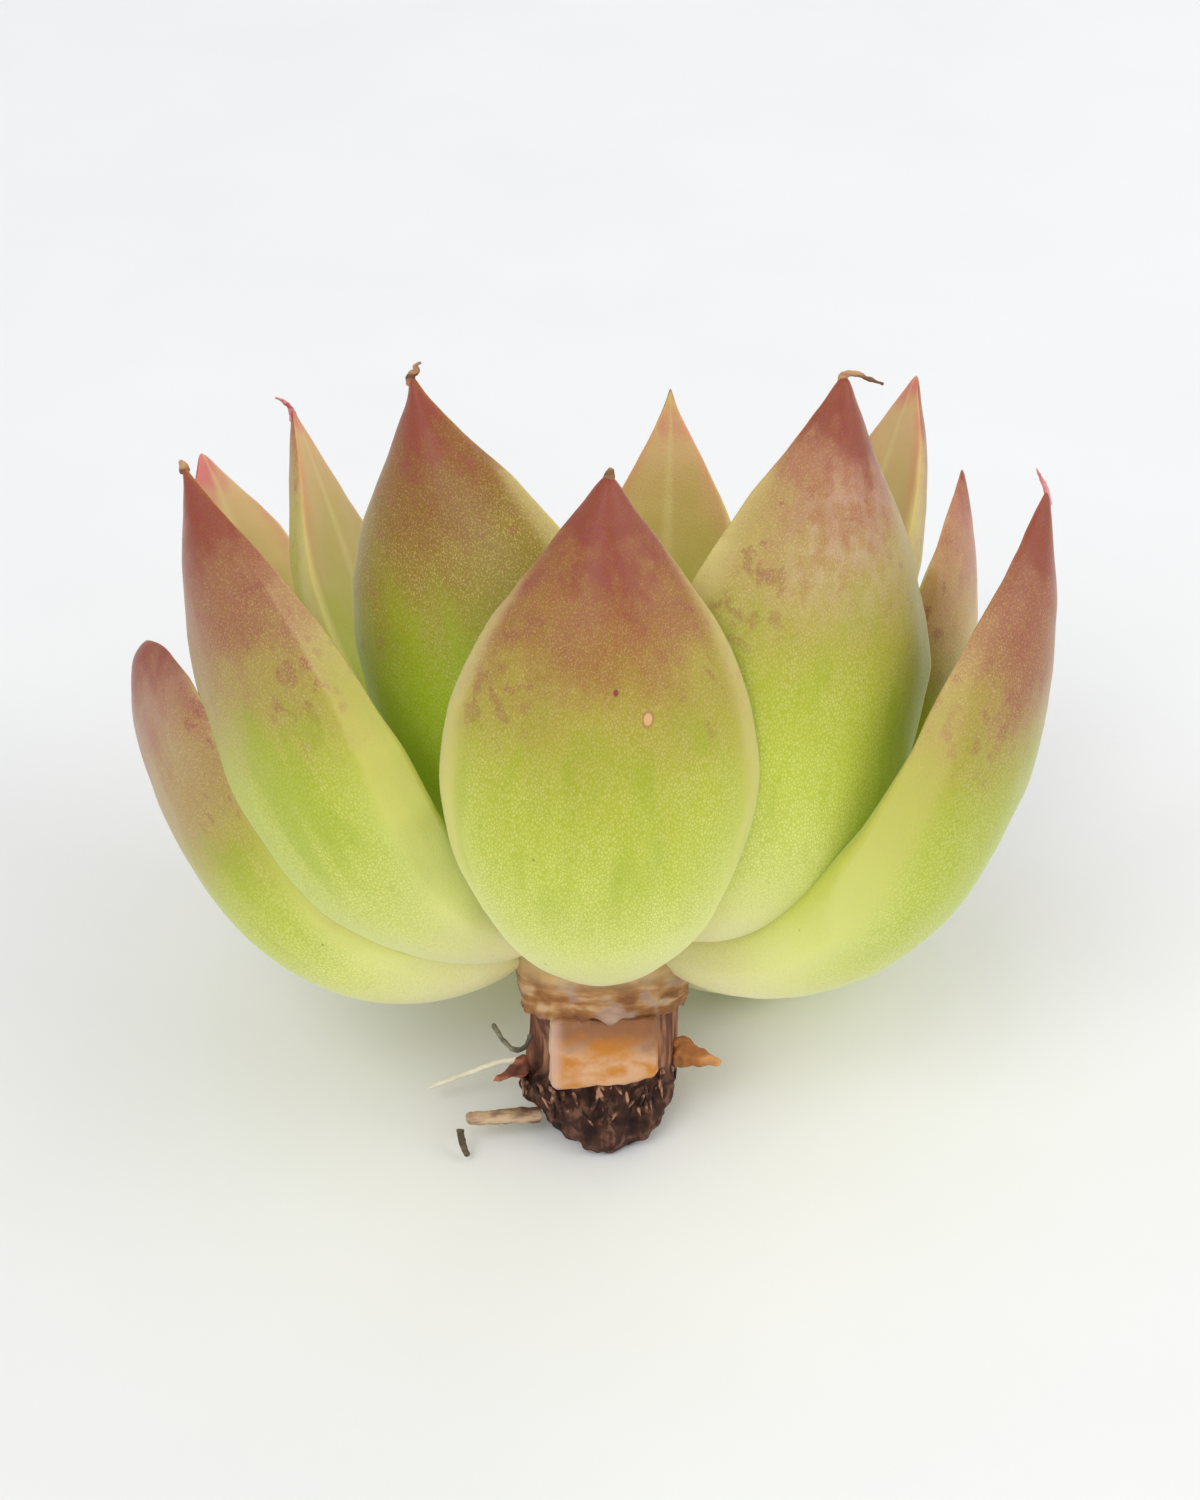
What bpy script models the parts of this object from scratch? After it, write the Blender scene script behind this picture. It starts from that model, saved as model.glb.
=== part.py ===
"""A bare-root succulent rosette: thick pointed leaves on a short torn stem with root stubs.

The plant rests as it does on a table: on the torn end of its stem and on two low leaves behind,
so that its axis leans back. Each piece is modelled in the plant's own frame, where Z is the
plant's axis, z = 0 is the level of the lowest leaves and -Y is the front, in millimetres. The
plant_axis empty then carries the pieces to how they rest, in metres, with +Z up and the middle
of the plant's footprint at the origin. Azimuths are in degrees: 0 is +X and -90 is the front.
"""

import math

import bmesh
import bpy
import numpy as np
from mathutils import Matrix, Vector

MM = 0.001
FIRST_LEAN = 27.0  # degrees back from upright, before the plant settles on its supports
SUPPORTS = ("stem", "leaf_back_low", "leaf_right_low")
SETTLE_ROUNDS = 12

# Stem: the crown carries the leaves, and the stub below it ends in an oblique tear
CLEARANCE = 0.3  # between any two pieces
STEM_RADIUS = 6.5
CROWN_HEIGHT = 15.0
CROWN_TOP_RADIUS = 1.6
STUB_NECK_LEVEL = -5.0
STUB_TEAR_LEVEL = -10.6  # where the bark is torn off
STUB_FOOT_LEVEL = -16.6
FOOT_BACK = 0.8  # how far the foot lies behind the axis
FOOT_SLOPE = 26.0  # degrees, so that the foot lies flat as the plant leans
# The torn end, from the foot up: share of the way down, radius share, hollow on the front
STUB_END = (
    (1.00, 0.42, 0.00),
    (0.90, 0.62, 0.10),
    (0.65, 0.82, 0.18),
    (0.35, 0.92, 0.22),
    (0.00, 0.93, 0.22),
)
BARK_BUMPS = 0.02  # as a share of the radius
BARK_BUMP_COUNTS = (3, 8)  # broad and narrow bumps round the stub
STEM_SIDES = 28

# Dry bases of shed leaves, in a band round the top of the stub
# name: azimuth, level of the upper edge
DRY_BASES = {
    "dry_base_front": (-82, -2.4),
    "dry_base_right": (0, -3.7),
    "dry_base_back": (110, -4.8),
    "dry_base_left": (196, -3.6),
}
DRY_BASE_SPAN = 80.0  # degrees round the stem
DRY_BASE_HEIGHT = 2.8
DRY_BASE_THICKNESS = 0.8
DRY_BASE_FLARE = 0.5
DRY_BASE_END = 0.12  # how blunt a scale's two ends are, as a share of half a turn
DRY_BASE_STEPS = 8

# A leaf's outline: share of its length, then share of its full width and of its thickness
STATIONS = (
    (0.00, 0.30, 0.34),
    (0.06, 0.38, 0.46),
    (0.14, 0.52, 0.64),
    (0.24, 0.71, 0.84),
    (0.35, 0.88, 0.97),
    (0.46, 0.98, 1.00),
    (0.56, 1.00, 0.96),
    (0.66, 0.92, 0.87),
    (0.75, 0.77, 0.74),
    (0.83, 0.57, 0.59),
    (0.89, 0.38, 0.43),
    (0.93, 0.24, 0.29),
    (0.96, 0.13, 0.18),
    (0.98, 0.07, 0.10),
)
LEAF_SIDES = 14
UPPER_SHARE = 0.16  # of the thickness, above the line between the leaf's two edges
WIDEST = 0.5  # share of the length
MIDLINE_STEPS = 200
BEND_FALL = 2.2  # how much more a leaf bends near its base than near its tip
KEEL_START = 0.6  # share of the length where the back starts to form a keel
KEEL_SHARPNESS = 0.5
CUP = 0.11  # rise of the edges above the middle, as a share of half the width

# azimuth, seat as a share of the crown's height, length, width, thickness, rise at the base, rise
# at the tip, sideways lean of the tip (positive is anticlockwise from above), fullness of the tip
LEAVES = {
    "leaf_right_low": (48, -0.087, 53, 22, 7.0, -34, 64, 0.0, 1.0),
    "leaf_back_low": (102, 0, 50, 22, 7.0, -27, 62, 0.0, 1.0),
    "leaf_left_low": (188, 0.027, 46, 22, 7.0, -26, 69, 0.0, 1.8),
    "leaf_right": (-28, 0.04, 57.5, 24.5, 7.5, -8, 77, 0.0, 1.0),
    "leaf_front": (-90, 0.133, 53.2, 25.5, 8.0, -2, 87, 1.2, 1.05),
    "leaf_left_back": (148, 0.173, 57, 22, 7.0, 0, 67, 0.0, 1.0),
    "leaf_right_back": (-3, 0.213, 49.5, 18, 6.5, 5, 79, 0.0, 1.0),
    "leaf_left_front": (-143, 0.253, 54, 26, 7.5, 2, 75, -6.8, 0.9),
    "leaf_back": (74, 0.307, 51, 17, 6.5, 14, 90, 0.0, 0.85),
    "leaf_front_right": (-51, 0.38, 53.5, 25.5, 7.5, 14, 84, 2.4, 1.0),
    "leaf_left": (156.5, 0.387, 49, 16.5, 6.5, 30, 73, 0.0, 0.85),
    "leaf_back_right": (30, 0.427, 52.5, 17.5, 6.5, 24, 72, 0.0, 1.0),
    "leaf_front_left": (-113, 0.467, 50, 25, 7.0, 24, 86, -5.5, 0.82),
}

# The bud: young leaves that turn by the golden angle, each shorter and steeper than the last
BUD_LEAVES = 10
BUD_FIRST_AZIMUTH = 115.0
GOLDEN_ANGLE = 137.5
BUD_FIRST_SEAT = 0.514  # share of the crown's height
BUD_SEAT_STEP = 0.0433
BUD_LENGTHS = (33.0, 12.0)  # first and last leaf
BUD_WIDTHS = (17.0, 5.0)
BUD_THICKNESSES = (5.6, 2.0)
BUD_RISES = (30.0, 84.0)  # at the base
BUD_TIP_RISES = (92.0, 96.0)

# Torn strips of bark: azimuth, height on the stub, reach, width, thickness, droop in degrees
BARK_STRIPS = {
    "bark_strip_left": (-165, -10.2, 3.4, 2.4, 1.0, 22),
    "bark_strip_right": (-12, -9.4, 4.4, 3.8, 1.2, 12),
}
STRIP_STATIONS = (0.0, 0.35, 0.7, 0.92)  # shares of the reach
STRIP_TAPER = 0.8
STRIP_SIDES = 8

# Where each root leaves the bark: azimuth, level
ROOT_SEATS = {"root_broken": (-164, -14.6), "root_curl": (-171, -8.2), "root_pale": (175, -10.4)}
# Roots: radius at the start, radius at the end, then how far each bend lies from the start
ROOTS = {
    "root_broken": (0.8, 0.65, (-2.2, -0.4, 0.1), (-4.4, -1.0, 0.1), (-6.4, -1.6, 0.2)),
    "root_curl": (0.25, 0.2, (-0.4, -0.5, -0.9), (-1.3, -1, -1.1), (-2.3, -1.2, -0.2), (-3.2, -1.2, 1.3)),
    "root_pale": (0.3, 0.2, (-2.5, 0.6, -0.6), (-5.3, 1.2, -1.8), (-8.3, 1.4, -3.0)),
    "root_twig": (0.4, 0.3, (0.2, -0.3, -1.2), (0.6, -0.6, -2.2)),
}
TWIG_DROP = 1.5  # from the end of the broken root to the top of the twig that hangs below it
ROOT_SIDES = 8
ROOT_STEPS = 4


def station_share(column, share):
    """A leaf's width or thickness, as a share of its largest, at this share of its length."""
    shares = [row[0] for row in STATIONS] + [1.0]
    values = [row[column] for row in STATIONS] + [0.0]
    return float(np.interp(share, shares, values))


def leaf_midline(length, rise_base, rise_tip):
    """A function from a share of the length to the midline's reach, height and direction."""
    steps = MIDLINE_STEPS
    shares = np.linspace(0, 1, steps + 1)

    def direction(share):
        return np.radians(rise_base + (rise_tip - rise_base) * (1 - (1 - share) ** BEND_FALL))

    middles = direction((shares[:-1] + shares[1:]) / 2)
    reach = np.concatenate([[0], np.cumsum(np.cos(middles))]) * length / steps
    height = np.concatenate([[0], np.cumsum(np.sin(middles))]) * length / steps

    def place(share):
        return np.interp(share, shares, reach), np.interp(share, shares, height), direction(share)

    return place


def filled_out(size, share, fullness):
    """A blunt leaf keeps more of its size near the tip; fullness 1 leaves it pointed."""
    return size if share < WIDEST else size ** (1 / fullness)


def leaf_section(share, place, width, thickness, sway, fullness):
    """A cross-section: almost flat above, bulging below, with a keel on the back near the tip."""
    reach, height, direction = place(share)
    half = width / 2 * filled_out(station_share(1, share), share, fullness)
    deep = thickness * filled_out(station_share(2, share), share, fullness)
    keel = KEEL_SHARPNESS * max(0.0, (share - KEEL_START) / (1 - KEEL_START))
    ring = []
    for k in range(LEAF_SIDES):
        turn = 2 * math.pi * k / LEAF_SIDES
        across = math.cos(turn)
        if math.sin(turn) >= 0:
            up = UPPER_SHARE * deep * math.sin(turn)
        else:
            rounded = -math.sin(turn)
            keeled = 1 - abs(across)
            up = -(1 - UPPER_SHARE) * deep * ((1 - keel) * rounded + keel * keeled)
        up += CUP * half * across ** 2
        side = half * across + sway * share ** 3
        ring.append((reach - up * math.sin(direction), side, height + up * math.cos(direction)))
    return ring


def loft(rings, start, end):
    """A closed mesh through rings of equal count, closed by a fan to a point at each end."""
    bm = bmesh.new()
    loops = [[bm.verts.new(point) for point in ring] for ring in rings]
    count = len(rings[0])
    first, last = bm.verts.new(start), bm.verts.new(end)
    for k in range(count):
        after = (k + 1) % count
        for lower, upper in zip(loops, loops[1:]):
            bm.faces.new((lower[k], lower[after], upper[after], upper[k]))
        bm.faces.new((loops[0][after], loops[0][k], first))
        bm.faces.new((loops[-1][k], loops[-1][after], last))
    bmesh.ops.recalc_face_normals(bm, faces=bm.faces)
    return bm


def material(name, color, roughness):
    finish = bpy.data.materials.new(name)
    finish.use_nodes = True
    shader = finish.node_tree.nodes["Principled BSDF"]
    shader.inputs["Base Color"].default_value = (*color, 1)
    shader.inputs["Roughness"].default_value = roughness
    return finish


def add_piece(name, bm, axis, finish):
    """Turns a bmesh in the plant's own frame into a named object carried by the plant's axis."""
    mesh = bpy.data.meshes.new(name)
    bm.to_mesh(mesh)
    bm.free()
    mesh.shade_smooth()
    mesh.materials.append(finish)
    piece = bpy.data.objects.new(name, mesh)
    bpy.context.collection.objects.link(piece)
    piece.parent = axis
    return piece


def crown_radius(height):
    """The stem's radius at this height above the lowest leaf."""
    share = min(max(height / CROWN_HEIGHT, 0.0), 1.0)
    return STEM_RADIUS + (CROWN_TOP_RADIUS - STEM_RADIUS) * share


def add_leaf(name, row, axis, finish):
    """One leaf, whose base stands clear of the crown all over."""
    azimuth, seat_share, length, width, thickness, rise_base, rise_tip, sway, fullness = row
    seat = seat_share * CROWN_HEIGHT
    place = leaf_midline(length, rise_base, rise_tip)
    rings = [leaf_section(share, place, width, thickness, sway, fullness) for share, _, _ in STATIONS]
    reach, height, _ = place(1.0)
    leaf = add_piece(name, loft(rings, np.mean(rings[0], axis=0), (reach, sway, height)), axis, finish)
    innermost, lowest = np.min(rings[0], axis=0)[[0, 2]]
    out = crown_radius(seat + lowest) + CLEARANCE - innermost
    turn = math.radians(azimuth)
    leaf.location = (out * math.cos(turn), out * math.sin(turn), seat)
    leaf.rotation_euler.z = turn
    return leaf


def bud_leaf(order):
    """The size and place of one young leaf, counted from the outermost."""
    share = order / (BUD_LEAVES - 1)

    def between(pair):
        return pair[0] + (pair[1] - pair[0]) * share

    azimuth = BUD_FIRST_AZIMUTH - GOLDEN_ANGLE * order
    seat_share = BUD_FIRST_SEAT + BUD_SEAT_STEP * order
    sizes = [between(pair) for pair in (BUD_LENGTHS, BUD_WIDTHS, BUD_THICKNESSES)]
    return (azimuth, seat_share, *sizes, between(BUD_RISES), between(BUD_TIP_RISES), 0.0, 1.0)


def bark_radius(level):
    """The furthest that the bark stands out from the axis at this level of the stub."""
    shares = [row[0] for row in reversed(STUB_END)]
    radii = [row[1] for row in reversed(STUB_END)]
    share = (level - STUB_TEAR_LEVEL) / (STUB_FOOT_LEVEL - STUB_TEAR_LEVEL)
    narrowed = 1.0 if share < 0 else np.interp(share, shares, radii)
    return STEM_RADIUS * (narrowed + 2 * BARK_BUMPS)


def add_stem(axis, finish):
    """The crown and the stub in one piece, with a hollow, ragged tear at the lower end."""

    def ring(radius, level, bumps=0.0, hollow=0.0, down=0.0):
        points = []
        for turn in (2 * math.pi * k / STEM_SIDES for k in range(STEM_SIDES)):
            factor = 1 + bumps * sum(math.sin(count * turn) for count in BARK_BUMP_COUNTS)
            factor -= hollow * max(0.0, -math.sin(turn)) ** 2
            x, y = radius * factor * math.cos(turn), radius * factor * math.sin(turn)
            slope = math.tan(math.radians(FOOT_SLOPE)) * down
            points.append((x, y + FOOT_BACK * down, level + y * slope))
        return points

    rings = []
    for down, share, hollow in STUB_END:
        level = STUB_TEAR_LEVEL + (STUB_FOOT_LEVEL - STUB_TEAR_LEVEL) * down
        rings.append(ring(STEM_RADIUS * share, level, BARK_BUMPS, hollow, down))
    for share in (0.95, 0.7, 0.5):
        rings.append(ring(STEM_RADIUS, STUB_TEAR_LEVEL * share, BARK_BUMPS * share))
    rings.append(ring(STEM_RADIUS, STUB_NECK_LEVEL / 2))
    for share in (0.0, 0.25, 0.5, 0.75, 1.0):
        height = CROWN_HEIGHT * share
        rings.append(ring(crown_radius(height), height))
    start = (0, FOOT_BACK, STUB_FOOT_LEVEL)
    return add_piece("stem", loft(rings, start, (0, 0, CROWN_HEIGHT + CROWN_TOP_RADIUS)), axis, finish)


def add_dry_base(name, row, axis, finish):
    """A thin curved scale that hugs the stub and swells towards its lower edge."""
    azimuth, top = row
    inner = bark_radius(top) + CLEARANCE
    outer = inner + DRY_BASE_THICKNESS
    rings = []
    for k in range(DRY_BASE_STEPS + 1):
        turn = math.radians(azimuth + DRY_BASE_SPAN * (k / DRY_BASE_STEPS - 0.5))
        along = DRY_BASE_END + (1 - 2 * DRY_BASE_END) * k / DRY_BASE_STEPS
        taper = math.sqrt(math.sin(math.pi * along))
        low = top - DRY_BASE_HEIGHT * taper
        bulge = DRY_BASE_FLARE * taper
        belly = (outer + bulge, (2 * low + top) / 3)
        section = ((inner, top), (inner, low), (outer, low), belly, (outer, top))
        rings.append([(r * math.cos(turn), r * math.sin(turn), z) for r, z in section])
    bm = loft(rings, np.mean(rings[0], axis=0), np.mean(rings[-1], axis=0))
    return add_piece(name, bm, axis, finish)


def add_bark_strip(name, row, axis, finish):
    """A pointed splinter of bark that stands off the stub."""
    azimuth, level, reach, width, thickness, droop = row
    inner = bark_radius(level) + CLEARANCE
    slope = math.tan(math.radians(droop))
    rings = []
    for share in STRIP_STATIONS:
        narrow = (1 - share) ** STRIP_TAPER
        out = inner + reach * share
        middle = level - slope * reach * share
        half_width, half_deep = width / 2 * narrow, thickness / 2 * narrow
        rings.append([
            (out, half_deep * math.cos(turn), middle + half_width * math.sin(turn))
            for turn in (2 * math.pi * k / STRIP_SIDES for k in range(STRIP_SIDES))
        ])
    bm = loft(rings, (inner, 0, level), (inner + reach, 0, level - slope * reach))
    strip = add_piece(name, bm, axis, finish)
    strip.rotation_euler.z = math.radians(azimuth)
    return strip


def smooth_line(points, steps):
    """Points along a smooth curve through the given ones."""
    line = []
    for i in range(len(points) - 1):
        start, end = points[i], points[i + 1]
        leaving = (end - points[max(i - 1, 0)]) / 2
        arriving = (points[min(i + 2, len(points) - 1)] - start) / 2
        for t in (k / steps for k in range(steps)):
            line.append(
                (2 * t**3 - 3 * t**2 + 1) * start
                + (t**3 - 2 * t**2 + t) * leaving
                + (3 * t**2 - 2 * t**3) * end
                + (t**3 - t**2) * arriving
            )
    return line + [points[-1]]


def add_root(name, row, start, axis, finish):
    """A round root that tapers along a smooth line, bent as its row says, from its start."""
    radius_start, radius_end, *bends = row
    centres = smooth_line([start] + [start + Vector(bend) for bend in bends], ROOT_STEPS)
    rings = []
    for i, centre in enumerate(centres):
        ahead = centres[min(i + 1, len(centres) - 1)] - centres[max(i - 1, 0)]
        side = ahead.cross(Vector((0, 1, 0))).normalized()
        other = ahead.cross(side).normalized()
        radius = radius_start + (radius_end - radius_start) * i / (len(centres) - 1)
        rings.append([
            centre + radius * (math.cos(turn) * side + math.sin(turn) * other)
            for turn in (2 * math.pi * k / ROOT_SIDES for k in range(ROOT_SIDES))
        ])
    tip = centres[-1] + (centres[-1] - centres[-2]).normalized() * radius_end / 2
    return add_piece(name, loft(rings, start, tip), axis, finish)


def root_seat(azimuth, level):
    """Where a root starts on the stub's bark."""
    out = bark_radius(level) + 2 * CLEARANCE
    turn = math.radians(azimuth)
    return Vector((out * math.cos(turn), out * math.sin(turn), level))


def world_points(piece, carrier):
    own = Matrix.LocRotScale(piece.location, piece.rotation_euler, None)
    return [carrier @ own @ vertex.co for vertex in piece.data.vertices]


def settle(pieces):
    """The matrix that rests the plant on its three supports, centred over the origin."""
    carrier = Matrix.Rotation(math.radians(-FIRST_LEAN), 4, "X")
    for _ in range(SETTLE_ROUNDS):
        foot, left, right = (
            min(world_points(pieces[name], carrier), key=lambda point: point.z) for name in SUPPORTS
        )
        upward = (right - foot).cross(left - foot)
        carrier = upward.rotation_difference(Vector((0, 0, 1))).to_matrix().to_4x4() @ carrier
    points = np.array([p for piece in pieces.values() for p in world_points(piece, carrier)])
    low, high = points.min(axis=0), points.max(axis=0)
    middle = Vector(((low[0] + high[0]) / 2, (low[1] + high[1]) / 2, low[2]))
    return Matrix.Scale(MM, 4) @ Matrix.Translation(-middle) @ carrier


def main():
    for old in list(bpy.data.objects):
        bpy.data.objects.remove(old)
    axis = bpy.data.objects.new("plant_axis", None)
    bpy.context.collection.objects.link(axis)
    leaf_skin = material("leaf_skin", (0.42, 0.55, 0.16), 0.4)
    bark = material("bark", (0.36, 0.19, 0.09), 0.85)
    dry_scale = material("dry_scale", (0.55, 0.36, 0.2), 0.8)
    root_skin = material("root_skin", (0.3, 0.2, 0.13), 0.8)

    leaves = dict(LEAVES)
    leaves.update({f"bud_leaf_{k + 1:02d}": bud_leaf(k) for k in range(BUD_LEAVES)})
    pieces = {"stem": add_stem(axis, bark)}
    for name, row in leaves.items():
        pieces[name] = add_leaf(name, row, axis, leaf_skin)
    for name, row in DRY_BASES.items():
        pieces[name] = add_dry_base(name, row, axis, dry_scale)
    for name, row in BARK_STRIPS.items():
        pieces[name] = add_bark_strip(name, row, axis, bark)
    starts = {name: root_seat(*seat) for name, seat in ROOT_SEATS.items()}
    broken_end = starts["root_broken"] + Vector(ROOTS["root_broken"][-1])
    starts["root_twig"] = broken_end - Vector((0, 0, TWIG_DROP))
    for name, row in ROOTS.items():
        pieces[name] = add_root(name, row, starts[name], axis, root_skin)
    axis.matrix_world = settle(pieces)


main()
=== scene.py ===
"""The looks of a bare-root succulent rosette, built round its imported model.

Places are in metres in the model's own frame: +Z is up and -Y is the plant's front. Small sizes
are given in millimetres, times MM.
"""

import math
import random

import bpy
import numpy as np
from mathutils import Euler, Matrix, Vector, noise


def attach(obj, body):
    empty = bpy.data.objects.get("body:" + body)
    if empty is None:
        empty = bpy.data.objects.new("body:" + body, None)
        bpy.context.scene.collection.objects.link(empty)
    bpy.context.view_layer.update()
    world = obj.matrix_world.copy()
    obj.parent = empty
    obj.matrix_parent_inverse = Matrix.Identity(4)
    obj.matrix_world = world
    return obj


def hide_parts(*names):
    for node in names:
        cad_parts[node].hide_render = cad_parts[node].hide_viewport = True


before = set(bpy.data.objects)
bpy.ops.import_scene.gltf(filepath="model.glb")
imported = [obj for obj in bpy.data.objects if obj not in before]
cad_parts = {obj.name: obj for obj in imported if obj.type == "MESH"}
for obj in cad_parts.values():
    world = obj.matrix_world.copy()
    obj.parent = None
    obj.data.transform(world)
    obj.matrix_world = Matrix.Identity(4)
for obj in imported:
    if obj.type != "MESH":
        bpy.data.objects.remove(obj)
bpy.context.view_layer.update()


# ---- The large leaves ----------------------------------------------------------------------
# Each is one thick, water-filled leaf that grows from the crown, almost flat inside and swollen
# outside. Its waxy skin runs from cream at the base through lime to bronze, and to crimson at the
# tip. It has pale stipples, a fine net of cells and a thin, paler rim along both edges, which is
# partly painted rim light. Painted green shade, painted streaks of shade, painted sheen and a
# faint painted glow lie on it as well.

MM = 0.001
LEAN_BACK = math.radians(25.5)  # how the plant's axis leans as it rests
LEAN_SIDE = math.radians(0.85)
CROWN_TOP_LEVEL = 16.6 * MM  # the crown's top above the origin of the plant's own frame
MERGE_DISTANCE = 0.002 * MM

stem_points = [vertex.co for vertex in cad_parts["stem"].data.vertices]
crown_top = max(stem_points, key=lambda point: point.z).copy()
plant_turn = Euler((-LEAN_BACK, -LEAN_SIDE, 0)).to_matrix()
plant_place = Matrix.Translation(crown_top - plant_turn @ Vector((0, 0, CROWN_TOP_LEVEL)))
plant_place @= plant_turn.to_4x4()


def add_object(name, data):
    """A new object with this data, which is the only one selected, and active."""
    piece = bpy.data.objects.new(name, data)
    bpy.context.scene.collection.objects.link(piece)
    bpy.ops.object.select_all(action="DESELECT")
    piece.select_set(True)
    bpy.context.view_layer.objects.active = piece
    return piece


def own_copy(node, name):
    """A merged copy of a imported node, as a new piece that can be shaped."""
    piece = add_object(name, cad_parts[node].data.copy())
    bpy.ops.mesh.customdata_custom_splitnormals_clear()
    bpy.ops.object.mode_set(mode="EDIT")
    bpy.ops.mesh.select_all(action="SELECT")
    bpy.ops.mesh.remove_doubles(threshold=MERGE_DISTANCE)
    bpy.ops.mesh.tris_convert_to_quads()
    bpy.ops.mesh.normals_make_consistent(inside=False)
    bpy.ops.mesh.select_all(action="DESELECT")
    bpy.ops.object.mode_set(mode="OBJECT")
    piece.data.materials.clear()
    return piece


def modify(piece, kind, **settings):
    """Adds one modifier with these settings and applies it."""
    modifier = piece.modifiers.new(kind.title(), kind)
    for name, value in settings.items():
        setattr(modifier, name, value)
    bpy.context.view_layer.objects.active = piece
    bpy.ops.object.modifier_apply(modifier=modifier.name)


def roughen(piece, size, depth):
    """Pushes a piece's surface in and out by up to half the depth, in patches of this size."""
    clouds = bpy.data.textures.new(piece.name + "_unevenness", "CLOUDS")
    clouds.noise_scale = size
    clouds.noise_depth = 1
    modify(piece, "DISPLACE", texture=clouds, texture_coords="LOCAL", strength=depth, mid_level=0.5)


def mesh_array(mesh, what):
    """The mesh's points ("co") or normals ("normal") as rows of three numbers."""
    values = np.empty(len(mesh.vertices) * 3, np.float32)
    mesh.vertices.foreach_get(what, values)
    return values.reshape(-1, 3).astype(float)


def leaf_ways(mesh, share=None):
    """The directions along, across and out of a leaf. With each point's share of the way to the
    tip, the last one follows the leaf's curve from point to point."""
    points = mesh_array(mesh, "co")
    middle = points.mean(axis=0)
    _, _, (long_way, _, deep_way) = np.linalg.svd(points - middle, full_matrices=False)
    from_crown = middle - np.array(crown_top)
    long_way = long_way * np.sign(long_way @ from_crown)
    upward = np.array(plant_turn.col[2])
    sideways = from_crown - upward * (from_crown @ upward)
    deep_way = deep_way * np.sign(deep_way @ (sideways / np.linalg.norm(sideways) - upward))
    side_way = np.cross(long_way, deep_way)
    if share is None:
        return long_way, side_way, deep_way

    reach, deep = (points - middle) @ long_way, (points - middle) @ deep_way
    bend = np.polyfit(reach, deep, 3)
    slope = np.polyval(np.polyder(bend), reach)
    outward = deep_way[None, :] - slope[:, None] * long_way[None, :]
    return long_way, side_way, outward / np.linalg.norm(outward, axis=1)[:, None]


LEAF_SLICES = 24  # along a leaf, to find its middle and its width from base to tip


def leaf_lines(mesh):
    """How each point lies on a leaf: its share of the way from base to tip, its distance across
    from the middle, its nearness to an edge from 0 to 1, and how far it faces outwards, -1 to 1."""
    points = mesh_array(mesh, "co")
    long_way, side_way, _ = leaf_ways(mesh)
    reach, side = points @ long_way, points @ side_way
    share = (reach - reach.min()) / np.ptp(reach)
    index = np.minimum((share * LEAF_SLICES).astype(int), LEAF_SLICES - 1)
    centres = (np.arange(LEAF_SLICES) + 0.5) / LEAF_SLICES
    left, right = np.full(LEAF_SLICES, np.inf), np.full(LEAF_SLICES, -np.inf)
    np.minimum.at(left, index, side)
    np.maximum.at(right, index, side)
    filled = np.isfinite(left)
    centres, left, right = centres[filled], left[filled], right[filled]
    across = side - np.interp(share, centres, (left + right) / 2)
    edge = np.abs(across) / np.interp(share, centres, (right - left) / 2)
    outward = leaf_ways(mesh, share)[2]
    facing = np.sum(mesh_array(mesh, "normal") * outward, axis=1)
    return share, across, np.clip(edge, 0, 1), facing


SLANT_LENGTH = 10 * MM  # about how much longer a leaf is than its height


def mark_leaf(mesh):
    """Writes where each point lies on its leaf into the mesh, for the skin's pattern to follow."""
    share, across, edge, facing = leaf_lines(mesh)
    points = mesh_array(mesh, "co")
    length = np.ptp(points @ np.array(plant_turn.col[2])) + SLANT_LENGTH
    depth = points @ leaf_ways(mesh)[2]
    for name, values in (("along", share), ("edge", edge), ("facing", facing)):
        layer = mesh.attributes.new(name, "FLOAT", "POINT")
        layer.data.foreach_set("value", values.astype(np.float32))
    place = np.stack([across, share * length, depth], axis=1)
    layer = mesh.attributes.new("place", "FLOAT_VECTOR", "POINT")
    layer.data.foreach_set("vector", place.astype(np.float32).ravel())


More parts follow.
